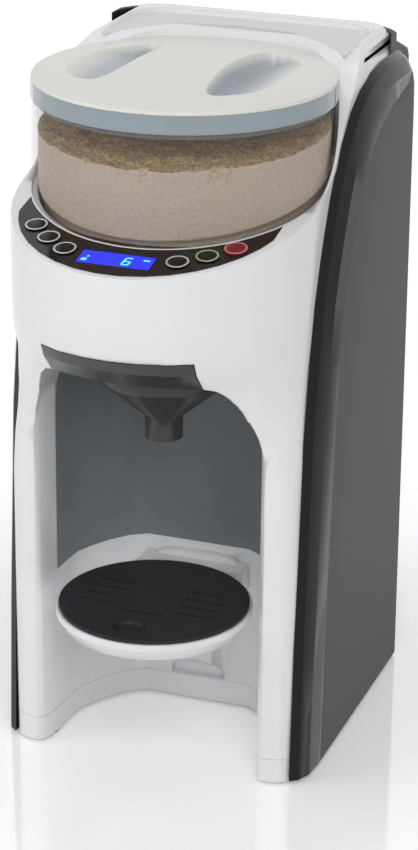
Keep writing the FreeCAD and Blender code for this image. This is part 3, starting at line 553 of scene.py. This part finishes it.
class OBJECT_OT_maker_covers(bpy.types.Operator):
    """Side covers with their rolled black band, back cover and tank dock"""
    bl_idname = "object.maker_covers"
    bl_label = "Covers"

    def execute(self, context):
        for side in ("left", "right"):
            give(smooth_copy("side_band_" + side, "band_" + side, 40), material("Gloss black"))
            give(smooth_copy("side_panel_" + side, "panel_" + side, 30), material("Panel grey"))
        give(smooth_copy("rear_cover", "back_cover", 30), material("Cover black"))
        give(smooth_copy("tank_dock", "dock", 30), material("Cover black"))
        return {"FINISHED"}


# ---- canister, powder and lid ------------------------------------------------------
def heap_z(y):
    """Height of the powder, rising towards the back."""
    front = CAN_Y - CAN_R
    share = min(1.0, max(0.0, (y - front) / (2 * CAN_R)))
    return HEAP_FRONT + HEAP_RISE * share ** 0.7


def powder_mound(grain):
    """Powder that fills the canister to a lumpy top, wider above the canister's sloped step."""
    low, wall, step, rings = POWDER_LOW.z, POWDER_R, POWDER_STEP_R, 44
    profile = [(0, low), (step, low), (step, STEP_RINGS[0]), (wall, STEP_RINGS[1]), (wall, MIDDLE_RING),
               (wall, TOP_RING)]
    profile += [(wall * (1 - i / rings), TOP_RING) for i in range(1, rings + 1)]
    bm = turned_block(profile, steps=180)
    bmesh.ops.translate(bm, verts=bm.verts, vec=(0, CAN_Y, 0))
    for v in bm.verts:
        z, edge = v.co.z, math.hypot(v.co.x, v.co.y - CAN_Y) / wall
        if any(abs(z - ring) < 1e-5 for ring in STEP_RINGS):
            v.co.z = slope_z(v.co.y) + z - STEP_LEVEL
        elif z > MIDDLE_RING - MM:
            lump = noise.fractal(v.co * FINE_LUMPS, 0.9, 2.1, 5) + 0.6 * noise.noise(v.co * BROAD_LUMPS)
            rise = heap_z(v.co.y) + grain * lump * (0.35 if edge > 0.99 else 1.0)
            floor = slope_z(v.co.y) + 3 * MM
            v.co.z = max(floor, rise) if z > MIDDLE_RING + MM else (floor + rise) / 2
    bmesh.ops.recalc_face_normals(bm, faces=bm.faces)
    return finish_mesh(bm, "powder_mound", 60, replaces=("powder_fill",))


class OBJECT_OT_maker_canister(bpy.types.Operator):
    """Clear canister and the powder in it"""
    bl_idname = "object.maker_canister"
    bl_label = "Canister and powder"

    def execute(self, context):
        give(smooth_copy("hopper_bowl", "canister_wall", 30, CAN_ROUNDS), material("Canister clear"))
        give(powder_mound(context.scene.formula_maker_sizes.grain), material("Powder"))
        return {"FINISHED"}


def soft_outline(points, passes=3):
    """Closed outline with its corners cut until it runs smoothly."""
    pts = [Vector(p) for p in points]
    for _ in range(passes):
        pairs = zip(pts, pts[1:] + pts[:1])
        pts = [q for a, b in pairs for q in (a.lerp(b, 0.25), a.lerp(b, 0.75))]
    return pts


def depth_inside(outline, x, y):
    """Distance to the outline's edge, or zero outside it."""
    place, nearest, within = Vector((x, y)), math.inf, False
    for a, b in zip(outline, outline[1:] + outline[:1]):
        if (a.y > y) != (b.y > y) and x < a.x + (b.x - a.x) * (y - a.y) / (b.y - a.y):
            within = not within
        share = max(0.0, min(1.0, (place - a).dot(b - a) / (b - a).length_squared))
        nearest = min(nearest, (place - a.lerp(b, share)).length)
    return nearest if within else 0.0


def lid_piece():
    """Domed lid with a finger scoop each side of its grip bar."""
    r, low, lip, rings = CAP_R, CAP_LOW.z, LID_RIM - 0.0016, 120
    skirt, brim = r - 0.0028, r - 0.0006
    profile = [(0, low), (skirt, low), (skirt, lip), (r, lip), (r, LID_RIM - 0.0004), (r - 0.0002, LID_RIM),
               (brim, LID_RIM + 0.0002)]
    dome = [(1 - i / rings) * brim for i in range(1, rings + 1)]
    profile += [(q, LID_CROWN - (LID_CROWN - LID_RIM) * (q / r) ** 2) for q in dome]
    bm = turned_block(profile, steps=320)
    scoops = [(soft_outline(outline), deep, out) for outline, deep, out in SCOOPS]
    for v in bm.verts:
        x, y = v.co.x / MM, v.co.y / MM
        if v.co.z > LID_RIM and abs(y) < 50 and 17 < abs(x) < 61:
            for outline, deep, out in scoops:
                if x * out > 0:
                    floor = LID_RIM - SCOOP_DEPTH * MM + (x - deep) / (out - deep) * SCOOP_RISE * MM
                    wall = v.co.z - SCOOP_STEEP * depth_inside(outline, x, y) * MM
                    v.co.z = min(v.co.z, max(floor, wall))
    bmesh.ops.translate(bm, verts=bm.verts, vec=(0, CAN_Y, 0))
    bmesh.ops.recalc_face_normals(bm, faces=bm.faces)
    return finish_mesh(bm, "cap", 40, replaces=("lid_cap",))


class OBJECT_OT_maker_lid(bpy.types.Operator):
    """Canister lid with two finger scoops, its clear band and seal"""
    bl_idname = "object.maker_lid"
    bl_label = "Lid"

    def execute(self, context):
        give(lid_piece(), material("Lid white"))
        give(smooth_copy("lid_band", "cap_band", 30, CAN_ROUNDS), material("Band clear"))
        give(NODES["lid_seal"], material("Seal grey"))
        return {"FINISHED"}


# ---- controls ----------------------------------------------------------------------
def key_centre(node):
    """Centre of a key in plan, on the control surface."""
    turn, gap = KEY_FAN[int(node[-1]) - 1]
    reach = CAN_R + gap * MM
    return reach * math.sin(math.radians(turn)), CAN_Y - reach * math.cos(math.radians(turn))


def key_piece(node, fine_edge):
    """Round key with a softened rim, its catch and stem."""
    place = slope_matrix(*key_centre(node))
    bm = merged_copy(node, 0.6)
    bmesh.ops.transform(bm, matrix=place.inverted(), verts=bm.verts)
    make_round(bm, rounds(0, 0, (KEY_R,), 16))
    rim = [e for e in bm.edges if all(v.co.z > KEY_TOP - 0.0001 for v in e.verts) and e.calc_face_angle(0) > 0.6]
    bmesh.ops.bevel(bm, geom=rim, offset=fine_edge, offset_type="OFFSET", segments=3, profile=0.5,
                    affect="EDGES", clamp_overlap=True, material=-1)
    bmesh.ops.transform(bm, matrix=place, verts=bm.verts)
    return finish_mesh(bm, "key_" + node[-1], 40, replaces=(node,))


def key_ring(node, width):
    """Bright raised ring on the rim of a key."""
    bm = bmesh.new()
    outer, top, foot = KEY_R - 0.00015, KEY_TOP + 0.00012, KEY_TOP - 0.0003
    turned(bm, [(outer - width, foot), (outer - width, KEY_TOP), (outer - width * 0.75, top),
                (outer - width * 0.25, top), (outer, KEY_TOP), (outer, foot)], 0, 0, steps=64)
    bmesh.ops.transform(bm, matrix=slope_matrix(*key_centre(node)), verts=bm.verts)
    return finish_mesh(bm, "ring_" + node[-1], 50, body=BODY[node], slot=slot_of(node))


def digit_six():
    """Plain seven-segment digit on the display, right of its middle, with small marks beside it."""
    bm = bmesh.new()
    for x, y, width, height in SEGMENTS + MARKS:
        made = bmesh.ops.create_cube(bm, size=1.0)["verts"]
        bmesh.ops.scale(bm, verts=made, vec=(width * STROKE_FILL, height * STROKE_FILL, STROKE_THICK))
        bmesh.ops.translate(bm, verts=made, vec=(x, y, 0))
    for v in bm.verts:
        v.co.x += LEAN * v.co.y
    low, high = DISPLAY_LOW, DISPLAY_HIGH
    x, y = low.x + DIGIT_ACROSS * (high.x - low.x), (low.y + high.y) / 2 - DIGIT_DOWN
    bmesh.ops.transform(bm, matrix=slope_matrix(x, y), verts=bm.verts)
    return finish_mesh(bm, "digit_six", 30, body="housing", slot=slot_of("display_window"))


class OBJECT_OT_maker_controls(bpy.types.Operator):
    """Control panel, display with its number, keys and their bright rings"""
    bl_idname = "object.maker_controls"
    bl_label = "Controls"

    def execute(self, context):
        sizes = context.scene.formula_maker_sizes
        give(smooth_copy("control_panel", "control_crescent", 30, CAN_ROUNDS + PANEL_ROUNDS),
             material("Control brown"))
        give(smooth_copy("display_window", "display_pane", 30), material("Display blue"))
        give(digit_six(), material("Digit glow"))
        finishes = [("Key black", "Key ring")] * 4 + [("Key black", "Ring green"), ("Key red", "Ring red")]
        for i, (face, ring) in enumerate(finishes):
            node = "button_%d" % (i + 1)
            give(key_piece(node, sizes.fine_edge), material(face))
            give(key_ring(node, sizes.ring), material(ring))
        return {"FINISHED"}


# ---- funnel, tray and tank ---------------------------------------------------------
class OBJECT_OT_maker_funnel(bpy.types.Operator):
    """Smoke-grey mixing funnel"""
    bl_idname = "object.maker_funnel"
    bl_label = "Funnel"

    def execute(self, context):
        give(smooth_copy("funnel", "mixing_funnel", 30, FUNNEL_ROUNDS), material("Smoke grey"))
        return {"FINISHED"}


def finger_cup():
    """Shallow cup in the grille's finger hole."""
    low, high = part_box("tray_grille")
    bm = bmesh.new()
    turned(bm, [(0.0078, high.z - 0.0002), (0.0078, low.z + 0.0006), (0.0070, low.z + 0.0001),
                (0.0001, low.z + 0.0001), (0.0001, low.z + 0.0005), (0.0066, low.z + 0.0006),
                (0.0073, high.z - 0.0002)], 0, FINGER_Y, steps=48)
    return finish_mesh(bm, "finger_cup", 40, body=BODY["tray_grille"], slot=slot_of("tray_grille"))


class OBJECT_OT_maker_tray(bpy.types.Operator):
    """Tray dish and its slotted grille"""
    bl_idname = "object.maker_tray"
    bl_label = "Tray"

    def execute(self, context):
        give(smooth_copy("tray_dish", "dish", 34, TRAY_ROUNDS), material("Housing white"))
        give(smooth_copy("tray_grille", "grille_plate", 30, TRAY_ROUNDS), material("Grille black"))
        give(finger_cup(), material("Grille black"))
        return {"FINISHED"}


class OBJECT_OT_maker_tank(bpy.types.Operator):
    """Water tank at the back with its lid and valve"""
    bl_idname = "object.maker_tank"
    bl_label = "Tank"

    def execute(self, context):
        give(smooth_copy("water_tank", "tank_wall", 30), material("Tank clear"))
        give(smooth_copy("tank_lid", "tank_cap", 30), material("Cover black"))
        give(NODES["tank_valve"], material("Nylon"))
        return {"FINISHED"}


# ---- inside and feet ---------------------------------------------------------------
INSIDE = {
    "Cover black": ("valve_seat", "power_inlet", "hopper_dock", "gearbox_housing", "powder_chute",
                    "funnel_sensor", "water_pump", "funnel_rail_right", "funnel_rail_left"),
    "Steel can": ("display_module", "drive_motor", "flow_heater", "motor_pinion"),
    "Board green": ("control_board", "power_board"),
    "Nylon": ("water_nozzle", "dosing_wheel", "stirrer", "drive_gear", "idler_gear"),
    "Hose silicone": ("inlet_hose", "pump_hose", "feed_hose"),
    "Hopper grey": ("hopper_base",),
    "Foot rubber": ("foot_front_left", "foot_front_right", "foot_rear_left", "foot_rear_right"),
}


class OBJECT_OT_maker_inside(bpy.types.Operator):
    """Dosing drive, pump, heater, boards, hoses and feet"""
    bl_idname = "object.maker_inside"
    bl_label = "Inside and feet"

    def execute(self, context):
        for finish, nodes in INSIDE.items():
            for node in nodes:
                give(NODES[node], material(finish))
        return {"FINISHED"}


# ---- camera, light and floor -------------------------------------------------------
def camera():
    """Camera that looks down on the front and right-hand side."""
    place, aim, roll = Vector(CAMERA_PLACE), Vector(CAMERA_AIM), math.radians(CAMERA_ROLL)
    ahead = (aim - place).normalized()
    right = ahead.cross(Vector((0, 0, 1))).normalized()
    up = right.cross(ahead)
    right, up = math.cos(roll) * right + math.sin(roll) * up, math.cos(roll) * up - math.sin(roll) * right
    turn = Matrix((right, up, -ahead)).transposed().to_4x4()
    data = bpy.data.cameras.new("Product camera")
    data.lens, data.sensor_width = CAMERA_LENS, CAMERA_SENSOR
    cam = bpy.data.objects.new("Product camera", data)
    cam.matrix_world = Matrix.Translation(place) @ turn
    bpy.context.scene.collection.objects.link(cam)
    bpy.context.scene.camera = cam


def lamp(name, place, width, height, power):
    """Soft rectangular lamp that shines on the object."""
    data = bpy.data.lights.new(name, "AREA")
    data.shape, data.size, data.size_y, data.energy = "RECTANGLE", width, height, power
    obj = bpy.data.objects.new(name, data)
    look = (Vector(LAMP_AIM) - Vector(place)).to_track_quat("-Z", "Y")
    obj.matrix_world = Matrix.Translation(place) @ look.to_matrix().to_4x4()
    bpy.context.scene.collection.objects.link(obj)


def backdrop_world():
    """White where it is seen, directly, mirrored or through glass, and softer as light."""
    world = bpy.data.worlds.new("Studio")
    bpy.context.scene.world = world
    world.use_nodes = True
    nodes, link = world.node_tree.nodes, world.node_tree.links.new
    plain, seen = nodes["Background"], nodes.new("ShaderNodeBackground")
    set_up(plain, Color=(1, 1, 1, 1), Strength=WORLD_LIGHT)
    set_up(seen, Color=(1, 1, 1, 1), Strength=1.0)
    mix = nodes.new("ShaderNodeMixShader")
    link(seen_rays(nodes, link), mix.inputs["Fac"])
    link(plain.outputs[0], mix.inputs[1])
    link(seen.outputs[0], mix.inputs[2])
    link(mix.outputs[0], nodes["World Output"].inputs["Surface"])


def floor_material():
    """White floor that mirrors softly near the object and turns plain further out."""
    mat, nodes, link, shader = new_material("Floor white")
    set_up(shader, Base_Color=(0.9, 0.9, 0.9, 1), Roughness=0.07, IOR=2.1, Emission_Color=(1, 1, 1, 1))
    seen = seen_rays(nodes, link)
    link(worked(nodes, link, "MULTIPLY", seen, FLOOR_GLOW), shader.inputs["Emission Strength"])
    plain = nodes.new("ShaderNodeEmission")
    link(seen, plain.inputs["Strength"])
    coord = nodes.new("ShaderNodeTexCoord")
    reach = worked(nodes, link, "LENGTH", coord.outputs["Object"], vector=True)
    fade = ranged(nodes, link, reach, FLOOR_NEAR, FLOOR_FAR)
    mix = nodes.new("ShaderNodeMixShader")
    link(worked(nodes, link, "MULTIPLY", fade, seen), mix.inputs["Fac"])
    link(shader.outputs[0], mix.inputs[1])
    link(plain.outputs[0], mix.inputs[2])
    link(mix.outputs[0], nodes["Material Output"].inputs["Surface"])
    return mat


class OBJECT_OT_maker_stage(bpy.types.Operator):
    """Pale floor, soft light and camera"""
    bl_idname = "object.maker_stage"
    bl_label = "Stage"

    def execute(self, context):
        camera()
        backdrop_world()
        bm = bmesh.new()
        bmesh.ops.create_grid(bm, x_segments=4, y_segments=4, size=6.0)
        mesh = bpy.data.meshes.new("Floor")
        bm.to_mesh(mesh)
        bm.free()
        floor = bpy.data.objects.new("Floor", mesh)
        context.scene.collection.objects.link(floor)
        give(floor, floor_material())
        for name, place, width, height, power in LAMPS:
            lamp(name, place, width, height, power)
        context.scene.view_settings.view_transform = "Standard"
        return {"FINISHED"}


# ---- add-on ------------------------------------------------------------------------
class VIEW3D_PT_formula_maker(bpy.types.Panel):
    """Lists the pieces of the formula maker and their sizes and colours"""
    bl_idname = "VIEW3D_PT_formula_maker"
    bl_label = "Formula Maker"
    bl_space_type = "VIEW_3D"
    bl_region_type = "UI"
    bl_category = "Formula Maker"

    def draw(self, context):
        for step in STEPS:
            self.layout.operator(step.bl_idname)
        for group in (context.scene.formula_maker_sizes, context.scene.formula_maker_colours):
            for name in group.__annotations__:
                self.layout.prop(group, name)


STEPS = (OBJECT_OT_maker_stage, OBJECT_OT_maker_housing, OBJECT_OT_maker_covers, OBJECT_OT_maker_canister,
         OBJECT_OT_maker_lid, OBJECT_OT_maker_controls, OBJECT_OT_maker_funnel, OBJECT_OT_maker_tray,
         OBJECT_OT_maker_tank, OBJECT_OT_maker_inside)
CLASSES = (FormulaMakerSizes, FormulaMakerColours) + STEPS + (VIEW3D_PT_formula_maker,)


def register():
    for cls in CLASSES:
        bpy.utils.register_class(cls)
    bpy.types.Scene.formula_maker_sizes = bpy.props.PointerProperty(type=FormulaMakerSizes)
    bpy.types.Scene.formula_maker_colours = bpy.props.PointerProperty(type=FormulaMakerColours)


def unregister():
    del bpy.types.Scene.formula_maker_colours
    del bpy.types.Scene.formula_maker_sizes
    for cls in reversed(CLASSES):
        bpy.utils.unregister_class(cls)


def main():
    register()
    for step in STEPS:
        area, name = step.bl_idname.split(".")
        getattr(getattr(bpy.ops, area), name)()


if __name__ == "__main__":
    main()
